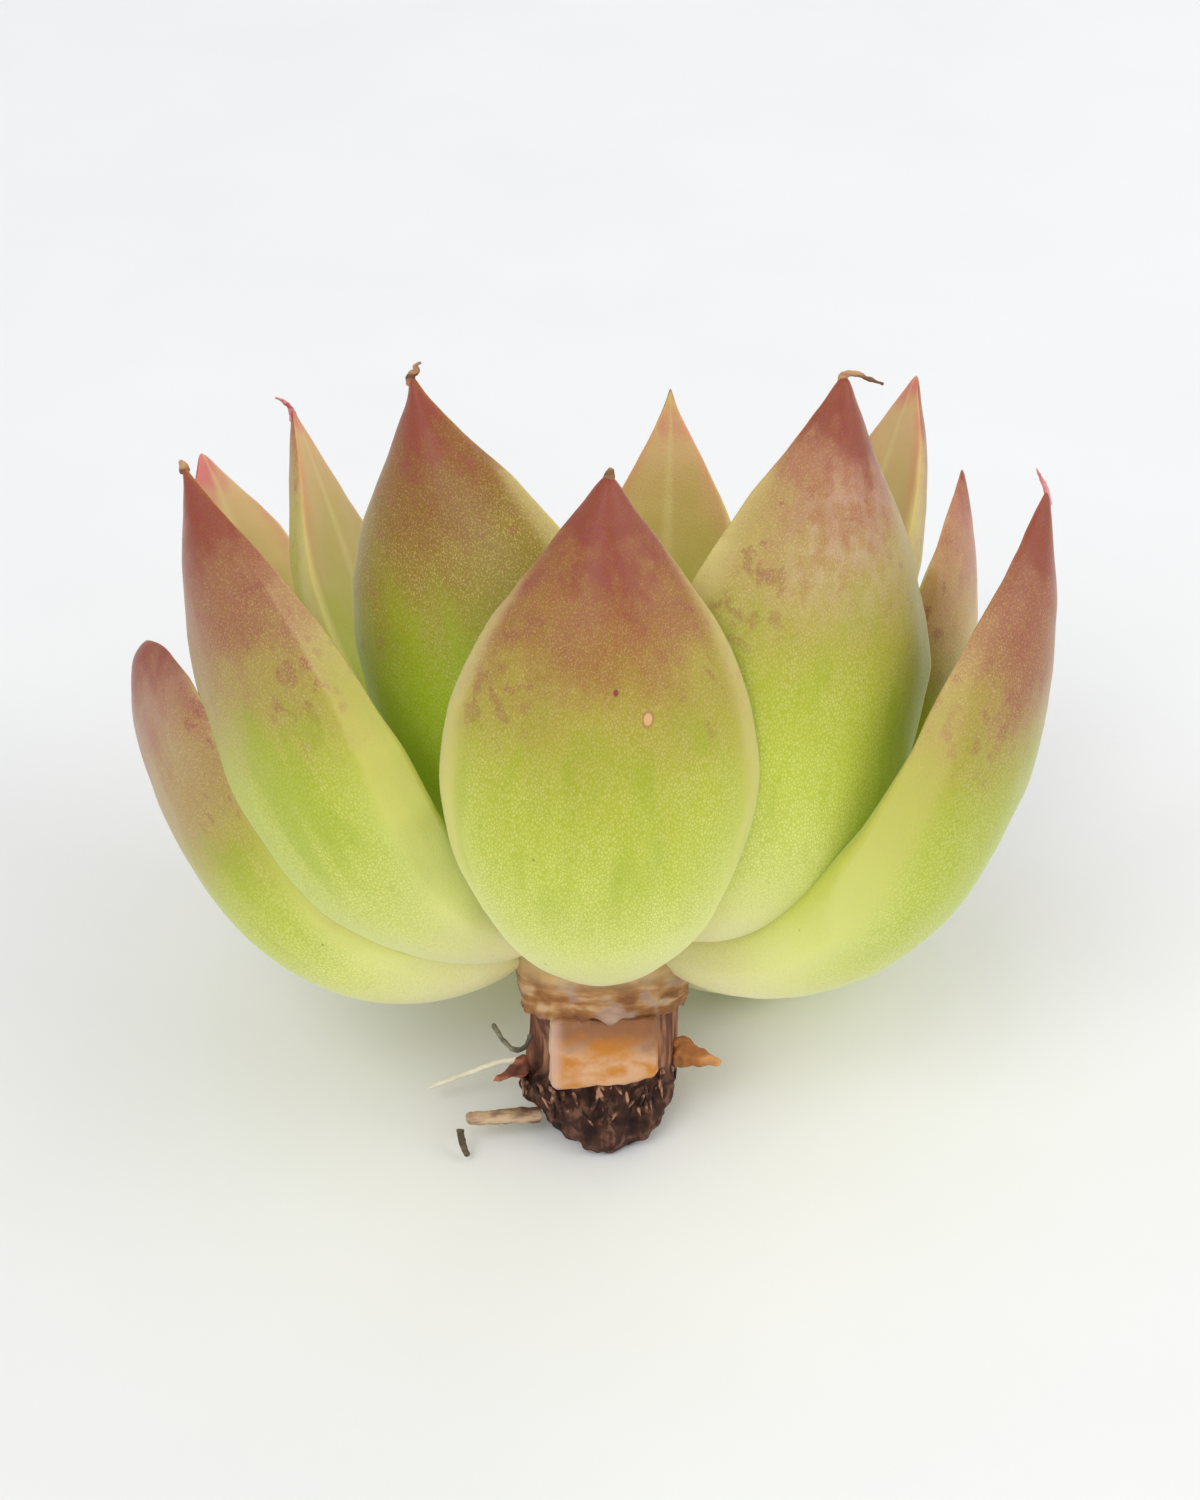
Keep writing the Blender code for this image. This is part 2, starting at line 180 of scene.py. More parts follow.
class Wire:
    """A shader socket that sums are written with. Any other node comes from its node method."""

    def __init__(self, tree, socket=None):
        self.tree = tree
        self.socket = socket

    def node(self, kind, inputs, output=0, stops=(), **settings):
        """Adds a node: first its settings and a ramp's stops, then each input's value or wire."""
        node = self.tree.nodes.new("ShaderNode" + kind)
        for name, value in settings.items():
            setattr(node, name, value)
        if stops:
            ramp = node.color_ramp.elements
            ramp.remove(ramp[1])
            ramp[0].position = stops[0][0]
            for position, _ in stops[1:]:
                ramp.new(position)
            for stop, (_, colour) in zip(ramp, stops):
                stop.color = (*colour, 1)
        for name, value in inputs.items():
            socket = node.inputs[name]
            if isinstance(value, Wire):
                self.tree.links.new(value.socket, socket)
            elif socket.type == "RGBA":
                socket.default_value = (*value, 1)
            else:
                socket.default_value = value
        return Wire(self.tree, node.outputs[output])

    def sum(self, operation, first, second):
        return self.node("Math", {0: first, 1: second}, operation=operation)

    def __add__(self, other):
        return self.sum("ADD", self, other)

    def __radd__(self, other):
        return self.sum("ADD", other, self)

    def __sub__(self, other):
        return self.sum("SUBTRACT", self, other)

    def __rsub__(self, other):
        return self.sum("SUBTRACT", other, self)

    def __mul__(self, other):
        return self.sum("MULTIPLY", self, other)

    def __rmul__(self, other):
        return self.sum("MULTIPLY", other, self)

    def between(self, low, high):
        """0 at low and 1 at high, with a smooth step from one to the other."""
        inputs = {"Value": self, "From Min": low, "From Max": high}
        return self.node("MapRange", inputs, interpolation_type="SMOOTHSTEP")

    def mixed(self, factor, other):
        """This colour, with the other one over it by the factor."""
        return self.node("Mix", {0: factor, 6: self, 7: other}, 2, data_type="RGBA")

    def grain(self, scale, detail=2.0, stretch=(1, 1, 1)):
        """Noise from about 0.25 to 0.75 on these coordinates, which are stretched first."""
        inputs = {0: self, 1: stretch}
        place = self.node("VectorMath", inputs, operation="MULTIPLY")
        return place.node("TexNoise", {"Vector": place, "Scale": scale, "Detail": detail})

    def bump(self, depth, strength=1.0):
        """Normals raised by this height from 0 to 1, over the depth in metres."""
        return self.node("Bump", {"Strength": strength, "Distance": depth, "Height": self})


def new_finish(name, **values):
    """A material with these fixed values on its shader, given as Roughness=0.5 and so on; its
    object coordinates; and a function that wires the shader's varying inputs."""
    material = bpy.data.materials.new(name)
    material.use_nodes = True
    tree = material.node_tree
    shader = tree.nodes["Principled BSDF"]
    for key, value in values.items():
        shader.inputs[key.replace("_", " ")].default_value = value

    def wire_up(**wires):
        for key, wire in wires.items():
            tree.links.new(wire.socket, shader.inputs[key.replace("_", " ")])

    return material, Wire(tree).node("TexCoord", {}, 3), wire_up


CREAM = (0.84, 0.80, 0.42)
PALE_LIME = (0.72, 0.71, 0.23)
LIME = (0.54, 0.56, 0.09)
DEEP_LIME = (0.46, 0.46, 0.045)
OLIVE = (0.42, 0.36, 0.035)
# The green of the cell net, which also serves for painted green shade
NET_AND_SHADE_GREEN = (0.28, 0.36, 0.002)
MINT = (0.70, 0.75, 0.36)
CRIMSON = (0.25, 0.002, 0.022)
WINE = (0.28, 0.04, 0.05)
PINK = (0.62, 0.16, 0.14)
RIM = (0.66, 0.56, 0.22)
STRAW = (0.60, 0.43, 0.14)
WAX_AND_SHEEN = (0.74, 0.60, 0.48)
PALE_EDGE_AND_SHEEN = (0.80, 0.80, 0.38)
GRIT = (0.12, 0.07, 0.02)
PAINTED_GLOW = (0.045, 0.068, 0.0)
MARKED_LENGTH = 38 * MM  # the length that a mark's share is taken of


def leaf_skin(name, bronze, bronze_from, crimson_from, bloom_and_sheen=0, green_shade=0, wrap=0, marks=()):
    """The skin of one leaf: its bronze tint, the shares of its length at which the bronze and the
    crimson start, its waxy bloom with its painted sheen, how much painted green shade lies on its
    lower part, and how much of its outer colour wraps round the edges. A mark is a corky spot,
    given as distance across, share of the length, radius and colour."""
    skin, spot, wire_up = new_finish(
        name,
        Subsurface_Weight=0.30,
        Subsurface_Radius=(0.9, 1.0, 0.15),
        Subsurface_Scale=1.6 * MM,
        Specular_IOR_Level=0.28,
        Sheen_Weight=0.22,
        Sheen_Roughness=0.45,
        Sheen_Tint=(0.92, 1.0, 0.85, 1),
        Emission_Strength=1.0,
    )

    def read(attribute, output=2):
        return spot.node("Attribute", {}, output, attribute_name=attribute)

    along, edge, facing, place = read("along"), read("edge"), read("facing"), read("place", 1)
    patches = spot.grain(120, 3.0) - 0.5
    clouds = place.grain(520, 3.0, (1, 0.45, 1)) - 0.5
    level = along + patches * 0.20 + clouds * 0.10

    greens = ((0.07, CREAM), (0.26, PALE_LIME), (0.42, LIME), (0.53, DEEP_LIME), (0.66, OLIVE))
    colour = along.node("ValToRGB", {"Fac": along + patches * 0.08}, stops=greens)
    # Painted green shade on the lower part, for light that passes through the leaves around it
    colour = colour.mixed(along.between(0.05, 0.3) * green_shade, NET_AND_SHADE_GREEN)
    bronzed = level.between(bronze_from - 0.11, bronze_from + 0.14)
    colour = colour.mixed(bronzed, bronze)
    rust = tuple(part * share for part, share in zip(bronze, (0.86, 0.40, 0.80)))
    streaks = place.grain(900, 3.0, (1, 0.25, 1)) - 0.5
    rusty = (level + streaks * 0.1 - edge * 0.03).between(crimson_from - 0.17, crimson_from - 0.02)
    colour = colour.mixed(rusty, rust)

    # Soft red blotches that gather near the edges
    blotches = place.grain(800, 4.0, (1, 0.7, 1)) + patches * 0.5 + edge * 0.13
    blotches = blotches.between(0.66, 0.76) * edge.between(0.2, 0.7)
    blotches = blotches * along.between(bronze_from - 0.12, bronze_from + 0.04)
    colour = colour.mixed(blotches * 0.55, WINE)
    crimson = level + streaks * 0.12 - edge * 0.03
    crimson = crimson.between(crimson_from - 0.04, crimson_from + 0.06)
    colour = colour.mixed(crimson, CRIMSON)

    # Fine pale stipples, strongest on the bronze, pale cells in a green mesh, and darker green
    # streaks of painted shade, like the shade in shallow dents
    dots = place.grain(8000, 1.0, (1, 0.6, 1)).between(0.50, 0.66)
    dotted = dots * (0.22 + bronzed * 0.32) * (1 - rusty * 0.5) * (1 - crimson * 0.9)
    colour = colour.mixed(dotted, STRAW)
    stretched = place.node("VectorMath", {0: place, 1: (1, 0.55, 1)}, operation="MULTIPLY")
    inputs = {"Vector": stretched, "Scale": 4300}
    cells = stretched.node("TexVoronoi", inputs, feature="DISTANCE_TO_EDGE").between(0.02, 0.24)
    on_green = (1 - bronzed * 0.6) * along.between(0.06, 0.36) * (1 - edge.between(0.8, 0.98))
    colour = colour.mixed((1 - cells) * on_green * 0.42, NET_AND_SHADE_GREEN)
    colour = colour.mixed(cells * on_green * (clouds + 0.5) * 0.34, MINT)
    # Darker green streaks painted as the shade of shallow dents
    painted_dent_shade = place.grain(330, 2.0, (1, 0.16, 1)).between(0.5, 0.68) * along.between(0.25, 0.45)
    colour = colour.mixed(painted_dent_shade * (1 - along.between(0.6, 0.8)) * 0.42, NET_AND_SHADE_GREEN)

    # The inner face is a deeper green low down, and straw-coloured above, with a pale midrib and
    # a pink point and edges
    inside = (
        (0.1, (0.60, 0.62, 0.06)),
        (0.35, (0.34, 0.42, 0.004)),
        (0.62, (0.38, 0.34, 0.03)),
        (0.82, (0.54, 0.37, 0.12)),
        (0.92, (0.62, 0.40, 0.17)),
        (0.98, PINK),
    )
    inner = level.node("ValToRGB", {"Fac": level}, stops=inside)
    inner = inner.mixed((1 - edge.between(0.0, 0.14)) * along.between(0.4, 0.8) * 0.38, RIM)
    inner = inner.mixed(edge.between(0.55, 0.98) * along.between(0.6, 0.95) * 0.6, PINK)
    outer = facing.between(-0.35, 0.15)
    outer = outer.sum("MAXIMUM", outer, edge.between(0.3, 0.6) * wrap)
    colour = inner.mixed(outer, colour)

    # A scuffed, waxy bloom over the shoulders, partly painted sheen, and paler edges, partly the
    # leaf's own margin and partly painted sheen
    wax_and_sheen = place.grain(900, 6.0, (1, 0.5, 1)).between(0.36, 0.64) * along.between(0.64, 0.78)
    wax_and_sheen = wax_and_sheen * (1 - edge.between(0.3, 0.75))
    colour = colour.mixed(wax_and_sheen * (1 - along.between(0.84, 0.93)) * bloom_and_sheen, WAX_AND_SHEEN)

    # Paler sides of the edges, partly the leaf's own margin and partly painted sheen
    pale = edge.between(0.66, 1.0) * (1 - along.between(0.3, 0.66)) * facing.between(-0.2, 0.2)
    colour = colour.mixed(pale * 0.28, PALE_EDGE_AND_SHEEN)
    # A paler rim along the edges, partly the leaf's own margin and partly painted rim light
    rim_and_rim_light = edge.between(0.82, 0.97) * (1 - along.between(crimson_from - 0.05, 0.98))
    rim_and_rim_light = rim_and_rim_light * (1 - facing.between(0.45, 0.8)) * (1 - wrap * 0.6)
    colour = colour.mixed(rim_and_rim_light * along.between(0.2, 0.5) * 0.7, RIM)

    # Specks of grit near the base, and the leaf's own marks
    cell = place.node("TexVoronoi", {"Vector": place, "Scale": 420})
    specks = (1 - cell.between(0.05, 0.08)) * spot.grain(260).between(0.56, 0.60)
    colour = colour.mixed(specks * (1 - along.between(0.3, 0.7)) * 0.7, GRIT)
    for across, share, radius, tint in marks:
        up = (along - share) * MARKED_LENGTH
        aside = place.node("SeparateXYZ", {0: place}) - across
        far = up * up + aside * aside + (1 - facing.between(0.0, 0.1)) * MM
        far = far.sum("SQRT", far, 0.0) + clouds * radius
        colour = colour.mixed(1 - far.between(radius * 0.6, radius), tint)

    # A faint green glow painted in as emission, which stands in for daylight that seeps through
    # the watery green flesh and lights it between the leaves
    painted_glow = along.between(0.04, 0.26) * (1 - along.between(0.42, 0.74))
    painted_glow = painted_glow.node("Mix", {0: painted_glow, 6: (0, 0, 0), 7: PAINTED_GLOW}, 2, data_type="RGBA")

    roughness = 0.38 + patches * 0.16 + dots * 0.06
    relief = dots * 0.3 + cells * 0.5 + clouds * 1.4
    wire_up(Base_Color=colour, Roughness=roughness, Emission_Color=painted_glow)
    wire_up(Normal=relief.bump(0.03 * MM, 0.5))
    return skin


HALF_WIDTH = 11 * MM  # of a large leaf

# Shares of a leaf's length: where its full swell ends and how fast it fades, where it is rolled
# fully, where it tapers, and where its tip starts to lengthen
SWOLLEN_TO = 0.28
SWELL_FADE = 0.25
ROLLED_FROM = 0.3
TAPER_MIDDLE = 0.89
TAPER_SPREAD = 0.09
REACH_FROM = 0.6


def bell(distance, spread):
    """1 at no distance, falling smoothly towards 0 beyond the spread."""
    return math.exp(-((distance / spread) ** 2))


def plump_leaf(leaf, swell, left, right, fill, roll, twist, taper, reach, lean):
    """Swells a leaf's lower half outwards, to its left and right and inwards, rolls its edges
    round its keel by an angle, twists its tip further, draws in its sides below the tip by a
    share, lengthens its tip, and leans the tip towards the bud."""
    share, across, edge, facing = leaf_lines(leaf.data)
    long_way, side_way, outward = leaf_ways(leaf.data, share)
    fullest = np.exp(-((np.maximum(share - SWOLLEN_TO, 0) / SWELL_FADE) ** 2))
    fullest = fullest * np.clip(share / 0.1, 0.7, 1)
    for index, vertex in enumerate(leaf.data.vertices):
        side = Vector(side_way)
        out = Vector(outward[index])
        wide = left if across[index] < 0 else right
        shift = side * wide * fullest[index] * across[index] / HALF_WIDTH
        shift += out * swell * fullest[index] * max(facing[index], 0.0)
        shift += out * fill * fullest[index] * min(facing[index], 0.0)
        turn = roll * min(share[index] / ROLLED_FROM, 1.0) + twist * share[index] ** 2
        shift += out * math.sin(turn) * across[index]
        shift += side * (math.cos(turn) - 1) * across[index]
        near_tip = bell(share[index] - TAPER_MIDDLE, TAPER_SPREAD)
        shift -= side * taper * near_tip * across[index]
        lengthened = max(share[index] - REACH_FROM, 0.0) / (1 - REACH_FROM)
        shift += Vector(long_way) * reach * lengthened
        shift -= out * lean * share[index] ** 2
        vertex.co += shift


def press_dents(leaf, dents):
    """Presses shallow dents into a leaf's outer face. Each is a distance across, a share of the
    length, a half-width, a half-length as a share, and a depth."""
    share, across, _, facing = leaf_lines(leaf.data)
    outward = leaf_ways(leaf.data, share)[2]
    for index, vertex in enumerate(leaf.data.vertices):
        for middle, place_along, half_width, half_length, depth in dents:
            width_share = (across[index] - middle) / half_width
            length_share = (share[index] - place_along) / half_length
            amount = math.exp(-(width_share**2) - length_share**2) * max(facing[index], 0.0)
            vertex.co -= Vector(outward[index]) * depth * amount


EDGE_FROM = 0.985  # how near to an edge a leaf's crease starts
CREASE = 0.55
PLAIN_SHAPE = (0, 0, 0, 0, 0, 0, 0.1, 0, 0)  # only a slight taper


def add_leaf(node, levels, skin, shape=PLAIN_SHAPE):
    """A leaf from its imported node, with firm edges, an uneven swell and its skin."""
    leaf = own_copy(node, node + "_skin")
    plump_leaf(leaf, *shape)
    edge_near = leaf_lines(leaf.data)[2]
    bpy.ops.object.mode_set(mode="EDIT")
    bpy.ops.mesh.select_mode(type="EDGE")
    bpy.ops.mesh.select_all(action="DESELECT")
    bpy.ops.object.mode_set(mode="OBJECT")
    for line in leaf.data.edges:
        line.select = all(edge_near[index] > EDGE_FROM for index in line.vertices)
    bpy.ops.object.mode_set(mode="EDIT")
    bpy.ops.transform.edge_crease(value=CREASE)
    bpy.ops.object.mode_set(mode="OBJECT")
    modify(leaf, "SUBSURF", levels=levels, render_levels=levels)
    roughen(leaf, 9 * MM, 0.55 * MM)
    roughen(leaf, 3.5 * MM, 0.14 * MM)
    leaf.data.shade_smooth()
    mark_leaf(leaf.data)
    leaf.data.materials.append(skin)
    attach(leaf, "root")
    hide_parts(node)
    return leaf


# Each leaf's bronze tint, where its bronze and its crimson start, and how its shape is its own:
# the swell of its lower half outwards, to its left, to its right and inwards, its roll, its
# twist, its taper, how much longer it is and how far it leans inwards
LARGE_LEAVES = {
    "leaf_right_low": ((0.38, 0.24, 0.07), 0.74, 0.95, 0, 0, 0, 0, 0, 0, 0, 0, -1.0),
    "leaf_back_low": ((0.40, 0.20, 0.08), 0.70, 0.93, 0, 0, 0, 0, 0, 0, 0, 0, 0),
    "leaf_left_low": ((0.40, 0.23, 0.09), 0.61, 0.92, 0, 0, -1.5, 1.0, 0, -26, -0.8, 1.6, 1.3),
    "leaf_right": ((0.36, 0.16, 0.07), 0.68, 0.86, 1.0, -2.2, 0, 1.8, -4, 0, 0.12, 0, -0.9),
    "leaf_front": ((0.36, 0.22, 0.035), 0.68, 0.86, 0, 0, 0, 0, 0, 0, 0.05, 0, 0),
    "leaf_left_back": ((0.48, 0.20, 0.12), 0.66, 0.90, 0, 1.5, 2.0, 0, 0, 0, -0.4, 1.0, 0.5),
    "leaf_right_back": ((0.50, 0.27, 0.12), 0.66, 0.93, 0.5, 1.0, 2.5, 0, 14, 0, -0.7, 0, 0.7),
    "leaf_left_front": ((0.36, 0.20, 0.07), 0.64, 0.83, 1.8, 1.8, -2.4, 0, 0, 0, 0.05, 0, 0.4),
    "leaf_back": ((0.44, 0.30, 0.10), 0.74, 0.92, 0, 0, 0, 0, 0, 0, 0.08, 0, 0),
    "leaf_front_right": ((0.44, 0.29, 0.10), 0.66, 0.89, 3.4, 0, 3.0, 0, 6, 0, 0.2, 0, 0.4),
    "leaf_left": ((0.44, 0.32, 0.09), 0.78, 0.94, 0, 0, 0, 0, 0, 0, 0.16, 0, 0),
    "leaf_back_right": ((0.42, 0.22, 0.09), 0.68, 0.92, 0, 1.0, 0, 0, 0, 0, -0.15, 0, -0.6),
    "leaf_front_left": ((0.27, 0.16, 0.015), 0.60, 0.87, 0, 0, 0, 0, 0, 0, 0.05, 0, 0.1),
}
# Looks that differ from leaf to leaf: corky marks, the amount of painted green shade on the lower
# part, the waxy bloom with its painted sheen, and the wrap of the outer colour
LEAF_LOOKS = {
    "leaf_front": {
        "marks": (
            (3.4 * MM, 0.70, 0.55 * MM, (0.34, 0.15, 0.06)),
            (3.4 * MM, 0.70, 0.42 * MM, (0.66, 0.40, 0.18)),
            (0.9 * MM, 0.74, 0.25 * MM, (0.26, 0.05, 0.04)),
        )
    },
    "leaf_front_left": {"green_shade": 1.0},
    "leaf_left_front": {"green_shade": 0.12, "wrap": 0.9},
    "leaf_right": {"green_shade": 0.28, "wrap": 0.9},
    "leaf_front_right": {"bloom_and_sheen": 0.20, "green_shade": 0.15},
}
leaves = {}
for node, row in LARGE_LEAVES.items():
    bronze, bronze_from, crimson_from, *swells, roll, twist, taper, reach, lean = row
    looks = LEAF_LOOKS.get(node, {})
    skin = leaf_skin(node + "_finish", bronze, bronze_from, crimson_from, **looks)
    shape = [swell * MM for swell in swells] + [math.radians(roll), math.radians(twist), taper]
    shape += [reach * MM, lean * MM]
    leaves[node] = add_leaf(node, 3, skin, shape)

# Shallow dents along the front leaf's outer face, where it has lost some water
FRONT_DENTS = (
    (-5.2 * MM, 0.60, 1.0 * MM, 0.13, 0.55 * MM),
    (-2.6 * MM, 0.52, 0.8 * MM, 0.15, 0.40 * MM),
    (4.8 * MM, 0.46, 0.7 * MM, 0.11, 0.60 * MM),
    (7.0 * MM, 0.58, 0.9 * MM, 0.09, 0.45 * MM),
)
press_dents(leaves["leaf_front"], FRONT_DENTS)


# ---- The bud -------------------------------------------------------------------------------
# The young leaves in the middle, packed round each other. Their skin is fresh and green, with
# pink only at the very tips.

bud_skin = leaf_skin("bud_finish", (0.44, 0.30, 0.10), 0.82, 0.96)
for node in sorted(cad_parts):
    if node.startswith("bud_leaf"):
        add_leaf(node, 2, bud_skin)


# ---- The stub of the stem ------------------------------------------------------------------
# The stem was pulled out of the soil, and its lower end is torn off. The bark is brown and
# papery above and dark, crumbly and fibrous at the tear.

TEAR_LEVEL = -10.6 * MM
NECK_LEVEL = -3.0 * MM
FLOOR_GAP = 0.02 * MM


def plant_points(mesh):
    """A mesh's points in the plant's own frame, whose Z is the plant's axis, as an array."""
    back = np.array(plant_place.inverted())
    return mesh_array(mesh, "co") @ back[:3, :3].T + back[:3, 3]


def add_plant_place(mesh):
    """Writes each point's place in the plant's own frame into the mesh, for patterns to follow."""
    layer = mesh.attributes.new("place", "FLOAT_VECTOR", "POINT")
    layer.data.foreach_set("vector", plant_points(mesh).astype(np.float32).ravel())


def plant_finish(name, **values):
    """A new finish, with its place in the plant's own frame instead of object coordinates."""
    material, spot, wire_up = new_finish(name, **values)
    return material, spot.node("Attribute", {}, 1, attribute_name="place"), wire_up


def lift_off_floor(piece):
    """Keeps every point of a piece just above the floor."""
    for vertex in piece.data.vertices:
        vertex.co.z = max(vertex.co.z, FLOOR_GAP)


def push_out(piece, amount):
    """Moves each point along its normal by what amount gives for its place in the plant."""
    normals = mesh_array(piece.data, "normal")
    places = plant_points(piece.data)
    for vertex, normal, place in zip(piece.data.vertices, normals, places):
        vertex.co += Vector(normal) * amount(Vector(place))


def bark_ridges(place):
    """Lengthwise ridges on the bark, which turn into deep crumbs at the tear."""
    turn = math.atan2(place.y, place.x)
    ridge = noise.noise(Vector((turn * 4, place.z / (9 * MM), 2.0)))
    crumbs = noise.noise(place / (2.2 * MM)) + 0.6 * noise.noise(place / (1.0 * MM))
    torn = min(max((TEAR_LEVEL + 1 * MM - place.z) / (2 * MM), 0.0), 1.0)
    lower = min(max((NECK_LEVEL - place.z) / (2 * MM), 0.0), 1.0)

    # A hollow in the front beside the scar, and a swelling low down on the left
    hollow = bell(place.x + 5.8 * MM, 1.3 * MM) if place.y < 0 else 0.0
    hollow *= bell(place.z + 9.5 * MM, 3.2 * MM)
    left_swell = max(-place.x / (7 * MM), 0.0) * bell(place.z + 12 * MM, 3 * MM)
    swell = (0.3 + 0.8 * crumbs) * torn + 1.3 * left_swell
    return (0.35 * ridge * lower + swell - 1.9 * hollow) * MM


bark, place, wire_up = plant_finish("bark_finish", Specular_IOR_Level=0.25)
height = place.node("SeparateXYZ", {0: place}, 2)
strands = place.grain(1500, 4.0, (1, 1, 0.16))
crumbs = place.grain(620, 5.0)
stops = ((0.0, (0.02, 0.008, 0.006)), (0.5, (0.07, 0.028, 0.018)), (0.8, (0.17, 0.08, 0.05)))
mottled = (crumbs * 0.7 + strands * 0.3).between(0.36, 0.7)
torn = crumbs.node("ValToRGB", {"Fac": mottled}, stops=stops)
stops = ((0.0, (0.10, 0.04, 0.03)), (0.5, (0.22, 0.09, 0.055)), (1.0, (0.42, 0.20, 0.11)))
papery = strands.node("ValToRGB", {"Fac": strands.between(0.3, 0.7)}, stops=stops)
colour = torn.mixed((height + crumbs * 3 * MM).between(TEAR_LEVEL, TEAR_LEVEL + 2.4 * MM), papery)
colour = colour.mixed(height.between(NECK_LEVEL, 0.0), (0.55, 0.45, 0.20))
relief = strands * 0.5 + crumbs
wire_up(Base_Color=colour, Roughness=0.75 + crumbs * 0.2, Normal=relief.bump(0.4 * MM, 0.9))

stem = own_copy("stem", "stem_bark")
modify(stem, "SUBSURF", levels=3, render_levels=3)
push_out(stem, bark_ridges)
lift_off_floor(stem)
stem.data.shade_smooth()
add_plant_place(stem.data)
stem.data.materials.append(bark)
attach(stem, "root")
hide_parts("stem")


# ---- The leaf scar -------------------------------------------------------------------------
# A fresh scar where a large leaf came off the front of the stub. It stands out like a block
# with a flat, moist face of orange and peach flesh, with painted shade at its top under the collar
# and pinkish at its left.

SCAR_WIDTH = 9.2 * MM
SCAR_TOP = -5.0 * MM
SCAR_FOOT = -10.8 * MM
SCAR_FRONT = -7.1 * MM
SCAR_DEPTH = 3.0 * MM
COLLAR_SHADE = (0.24, 0.10, 0.05)
PINKISH = (0.62, 0.42, 0.33)


def finish_piece(piece, material, node=None):
    """Gives a piece its finish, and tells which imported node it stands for."""
    add_plant_place(piece.data)
    piece.data.materials.clear()
    piece.data.materials.append(material)
    piece.data.shade_smooth()
    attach(piece, "root")
    if node:
        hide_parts(node)


flesh, place, wire_up = plant_finish(
    "scar_finish", Subsurface_Weight=0.15, Subsurface_Scale=1 * MM, Specular_IOR_Level=0.4
)
streaks = place.grain(520, 4.0, (0.6, 1, 1))
threads = place.grain(1800, 3.0, (1, 1, 0.25))
stops = (
    (0.0, (0.48, 0.17, 0.016)),
    (0.35, (0.53, 0.21, 0.03)),
    (0.65, (0.56, 0.27, 0.10)),
    (1.0, (0.62, 0.36, 0.20)),
)
colour = streaks.node("ValToRGB", {"Fac": streaks.between(0.36, 0.66)}, stops=stops)
height = place.node("SeparateXYZ", {0: place}, 2)
left = place.node("SeparateXYZ", {0: place}, 0)
# Painted shade across the top of the face, where the collar hangs over it
collar_shade = (height + (streaks - 0.5) * 5 * MM).between(-8.2 * MM, -6.0 * MM)
colour = colour.mixed(collar_shade * 0.85, COLLAR_SHADE)
pale = 1 - (left + streaks * MM).between(-4.0 * MM, -2.6 * MM)
colour = colour.mixed(pale * 0.8, PINKISH)
wire_up(
    Base_Color=colour,
    Roughness=0.42 + threads * 0.3,
    Normal=(streaks + threads * 0.4).bump(0.35 * MM, 0.8),
)

bpy.ops.object.select_all(action="DESELECT")
middle = Vector((0, SCAR_FRONT + SCAR_DEPTH / 2, (SCAR_TOP + SCAR_FOOT) / 2))
bpy.ops.mesh.primitive_cube_add(size=1, location=middle)
scar = bpy.context.active_object
scar.name = "leaf_scar"
scar.scale = (SCAR_WIDTH, SCAR_DEPTH, SCAR_TOP - SCAR_FOOT)
bpy.ops.object.transform_apply()
modify(scar, "BEVEL", width=0.5 * MM, segments=2)
bpy.ops.object.mode_set(mode="EDIT")
bpy.ops.mesh.select_all(action="SELECT")
bpy.ops.mesh.subdivide(number_cuts=6)
bpy.ops.mesh.select_all(action="DESELECT")
bpy.ops.object.mode_set(mode="OBJECT")
for vertex in scar.data.vertices:
    down = (SCAR_TOP - vertex.co.z) / (SCAR_TOP - SCAR_FOOT)
    vertex.co.y -= 0.5 * MM * (1 - (2 * vertex.co.x / SCAR_WIDTH) ** 2) * down
    vertex.co.z += down * (0.12 * vertex.co.x + 0.4 * MM * noise.noise(vertex.co / (1.6 * MM)))
scar.data.transform(plant_place)
modify(scar, "SUBSURF", levels=1, render_levels=1)
roughen(scar, 1.4 * MM, 0.5 * MM)
finish_piece(scar, flesh)


# ---- The torn fibres -----------------------------------------------------------------------
# Short, stiff fibres of wood and bark that stick out of the tear, dark with damp.

FIBRE_COUNT = 90

fibre_finish, place, wire_up = plant_finish("fibre_finish", Specular_IOR_Level=0.25)
tone = place.grain(900, 3.0)
stops = ((0.0, (0.03, 0.013, 0.009)), (0.5, (0.13, 0.055, 0.035)), (1.0, (0.44, 0.23, 0.14)))
colour = tone.node("ValToRGB", {"Fac": tone.between(0.38, 0.68)}, stops=stops)
wire_up(Base_Color=colour, Roughness=0.7 + tone * 0.2, Normal=tone.bump(0.1 * MM, 0.6))

random.seed(11)
fibres = []
for _ in range(FIBRE_COUNT):
    turn = random.uniform(0, 2 * math.pi)
    level = random.uniform(-13.6, -10.4) * MM
    inward = min(max((TEAR_LEVEL - level) / (6 * MM), 0.0), 1.0)
    radius = (6.9 - 0.7 * math.cos(turn) - 2.8 * inward) * MM
    length = random.uniform(1.4, 3.0) * MM
    start = Vector((radius * math.cos(turn), radius * math.sin(turn), level))
    slant = Vector((-0.35 * math.cos(turn), -0.35 * math.sin(turn), -1)) + 0.5 * Vector(
        (random.uniform(-1, 1), random.uniform(-1, 1), random.uniform(-0.4, 0.4))
    )
    bpy.ops.mesh.primitive_cone_add(
        vertices=6,
        radius1=random.uniform(0.25, 0.55) * MM,
        radius2=0.05 * MM,
        depth=length,
        location=plant_place @ (start + slant.normalized() * length / 3),
        rotation=(plant_turn @ slant).to_track_quat("Z", "Y").to_euler(),
    )
    fibres.append(bpy.context.active_object)
bpy.ops.object.select_all(action="DESELECT")
for fibre in fibres:
    fibre.select_set(True)
bpy.context.view_layer.objects.active = fibres[0]
bpy.ops.object.join()
torn_fibres = bpy.context.active_object
torn_fibres.name = "torn_fibres"
bpy.ops.object.transform_apply()
modify(torn_fibres, "SUBSURF", levels=1, render_levels=1)
